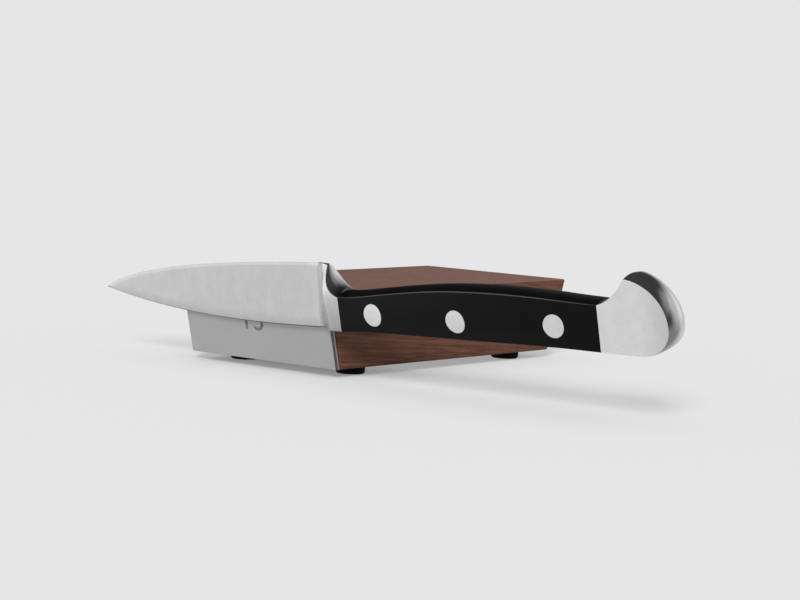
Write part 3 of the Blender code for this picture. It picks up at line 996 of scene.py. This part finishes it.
def dress_knife():
    heel = knife_matrix()
    blade_finish = ground_steel(
        "blade_ground", blade_tone, ground_roughness, blade_line_scales, blade_shade)
    edge_finish = ground_steel("edge_ground", edge_tone, ground_roughness, edge_line_scales)
    # The spine's chamfer finish is painted shade
    spine_finish = ground_steel("spine_ground_painted_shade", spine_chamfer_shade_tone, ground_roughness, spine_line_scales)
    bolster_finish = ground_steel(
        "bolster_ground", bolster_tone, bolster_roughness, bolster_line_scales, bolster_shade)
    butt_finish = ground_steel(
        "butt_ground", butt_tone, ground_roughness, butt_line_scales, butt_shade)
    rivet_finish = ground_steel(
        "rivet_ground", rivet_tone, rivet_roughness, rivet_line_scales,
        contrast=rivet_contrast_share)
    scoop_polish = polished_steel("scoop_polish", scoop_tone, scoop_shade_reach)
    butt_polish = polished_steel("butt_polish", butt_rim_tone)
    black = handle_black()

    steel_pieces = (
        add_blade(blade_finish, edge_finish, spine_finish),
        add_bolster(bolster_finish, scoop_polish),
        add_butt(butt_finish, butt_polish),
        add_tang(bolster_finish))
    for piece in steel_pieces:
        settle(piece, heel, "knife")
        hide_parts("blade_and_tang")
    for word, side in (("outer", -1), ("inner", 1)):
        piece = add_scale(word + "_scale", side, black)
        settle(piece, heel, "knife")
        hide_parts(word + "_handle_scale")
    for name, (along, up) in rivet_shares.items():
        piece = add_rivet(name + "_head", along, up, rivet_finish, black)
        settle(piece, heel, "knife")
        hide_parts(name)


# Block

def add_number(name, body, base, up, outwards, finish):
    """Number laid on a plate, with the middle of its foot at base and its top towards up."""
    text = bpy.data.curves.new(name, "FONT")
    text.body = body
    text.size = number_height / number_line_share
    text.align_x = "CENTER"
    text.extrude = number_depth
    text.materials.append(finish)
    made = bpy.data.objects.new(name, text)
    bpy.context.scene.collection.objects.link(made)
    across = up.cross(outwards)
    turn = Matrix((across, up, outwards)).transposed().to_4x4()
    made.matrix_world = Matrix.Translation(base + outwards * number_depth) @ turn
    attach(made, "block")


def dress_block():
    finishes = {
        "walnut": walnut(), "front_plate": plate_satin(), "rear_plate": rear_plate_satin(),
        "foot": rubber(), "front_magnet": nickel()}
    finishes["rear_magnet"] = finishes["front_magnet"]
    for name, piece in frame["nodes"].items():
        for start, finish in finishes.items():
            if name.startswith(start):
                piece.data.materials.clear()
                piece.data.materials.append(finish)
    ink = number_ink()
    up = Vector((0, -sin(front_angle), cos(front_angle)))
    outwards = Vector((0, -cos(front_angle), -sin(front_angle)))
    add_number("front_number", front_number, block_origin + up * number_rise, up, outwards, ink)
    mounts = {mount["name"]: mount for mount in frame["record"]["mounts"]}
    rear = mounts["face_20"]
    outwards = Vector(rear["axis"])
    up = Vector((0, -outwards.z, outwards.y))
    base = Vector(rear["pos_m"]) - up * number_height / 2
    add_number("rear_number", rear_number, base, up, outwards, ink)


# Stage, light and camera

def add_floor():
    """Wide pale floor, as bright under the lamps as the world behind it. No gloss mirrors it."""
    shape = bmesh.new()
    bmesh.ops.create_grid(shape, x_segments=1, y_segments=1, size=floor_half)
    mesh = bpy.data.meshes.new("floor")
    shape.to_mesh(mesh)
    shape.free()
    made = bpy.data.objects.new("floor", mesh)
    bpy.context.scene.collection.objects.link(made)
    finish, tree, surface = new_material("floor_paper", roughness=1, specular=0)
    surface.inputs["Base Color"].default_value = (*grey(floor_white), 1)
    mesh.materials.append(finish)
    glow = node(tree, "ShaderNodeEmission", {"Color": (*grey(floor_white), 1)}).outputs[0]
    camera = node(tree, "ShaderNodeLightPath").outputs["Is Camera Ray"]
    share = calculate(tree, "MULTIPLY", camera, glow_share(tree))
    paper = node(tree, "ShaderNodeMixShader", {0: share, 1: surface.outputs[0], 2: glow}).outputs[0]
    tree.links.new(paper, tree.nodes["Material Output"].inputs["Surface"])
    made.visible_glossy = False


def glow_share(tree):
    """Share of glow in the floor, which is less near the two front feet and between them."""
    x, y, _ = split(tree, place(tree))
    from_middle = calculate(tree, "ABSOLUTE", calculate(tree, "SUBTRACT", x, block_origin.x))
    past_feet = calculate(tree, "SUBTRACT", from_middle, block_origin.x - foot_low.x)
    beside = calculate(tree, "MAXIMUM", past_feet, 0)
    before = calculate(tree, "SUBTRACT", y, (foot_low.y + foot_high.y) / 2)
    squares = [calculate(tree, "MULTIPLY", side, side) for side in (beside, before)]
    away = calculate(tree, "SQRT", calculate(tree, "ADD", *squares))
    return spread(tree, away, front_glow_share, floor_glow_share, start=0, end=front_glow_reach)


def mirrored_light(tree, direction):
    """Brightness that gloss mirrors from a direction."""
    height = split(tree, direction)[2]
    start = table_rim_height - table_rim_softness
    level = spread(tree, height, grey_table, dark_room, start=start, end=table_rim_height)
    for azimuth, elevation, middle, rim, strength in light_areas:
        flat = cos(radians(elevation))
        towards = (sin(radians(azimuth)) * flat, cos(radians(azimuth)) * flat, sin(radians(elevation)))
        inputs = {
            "Value": dot(tree, direction, towards), "To Min": 0, "To Max": strength,
            "From Min": cos(radians(rim)), "From Max": cos(radians(middle))}
        area = node(tree, "ShaderNodeMapRange", inputs, interpolation_type="SMOOTHSTEP").outputs[0]
        level = calculate(tree, "ADD", level, area)
    return level


def add_world():
    """Even light on everything, the pale background, and what gloss mirrors."""
    world = bpy.data.worlds.new("studio")
    world.use_nodes = True
    bpy.context.scene.world = world
    tree = world.node_tree
    tree.nodes.clear()
    rays = node(tree, "ShaderNodeLightPath").outputs
    direction = node(tree, "ShaderNodeTexCoord").outputs["Generated"]
    colours = ((*grey(world_level), 1), (*grey(floor_white), 1), mirrored_light(tree, direction))
    even, seen, mirrored_room = (
        node(tree, "ShaderNodeBackground", {"Color": colour}).outputs[0] for colour in colours)
    shown = even
    for ray, sight in (("Is Glossy Ray", mirrored_room), ("Is Camera Ray", seen)):
        shown = node(tree, "ShaderNodeMixShader", {0: rays[ray], 1: shown, 2: sight}).outputs[0]
    node(tree, "ShaderNodeOutputWorld", {"Surface": shown})
    world.cycles.sampling_method = "NONE"


def add_sun(name, azimuth, elevation, level, spread_angle):
    """Soft sun that comes from an azimuth (0 is -Y, 90 is +X) and lights the floor to a level."""
    lamp = bpy.data.lights.new(name, "SUN")
    lamp.angle = spread_angle
    lamp.energy = pi * level / sin(elevation)
    made = bpy.data.objects.new(name, lamp)
    made.rotation_euler = (pi / 2 - elevation, 0, azimuth)
    made.visible_glossy = False
    bpy.context.scene.collection.objects.link(made)


def add_camera():
    camera = bpy.data.cameras.new("camera")
    camera.sensor_width = camera_sensor_width
    camera.lens = camera_lens
    camera.clip_end = camera_reach
    made = bpy.data.objects.new("camera", camera)
    back = Vector((
        sin(camera_azimuth) * cos(camera_elevation),
        -cos(camera_azimuth) * cos(camera_elevation),
        sin(camera_elevation)))
    right = Vector((0, 0, 1)).cross(back).normalized()
    up = back.cross(right)
    right, up = (
        right * cos(camera_roll) + up * sin(camera_roll),
        up * cos(camera_roll) - right * sin(camera_roll))
    turn = Matrix((right, up, back)).transposed().to_4x4()
    made.matrix_world = Matrix.Translation(block_origin + camera_place) @ turn
    bpy.context.scene.collection.objects.link(made)
    bpy.context.scene.camera = made


add_camera()
add_floor()
add_world()
add_sun("top_light", top_azimuth, top_elevation, top_level, top_spread)
add_sun("side_light", side_azimuth, side_elevation, side_level, side_spread)
dress_block()
dress_knife()
bpy.context.scene.view_settings.view_transform = "Standard"
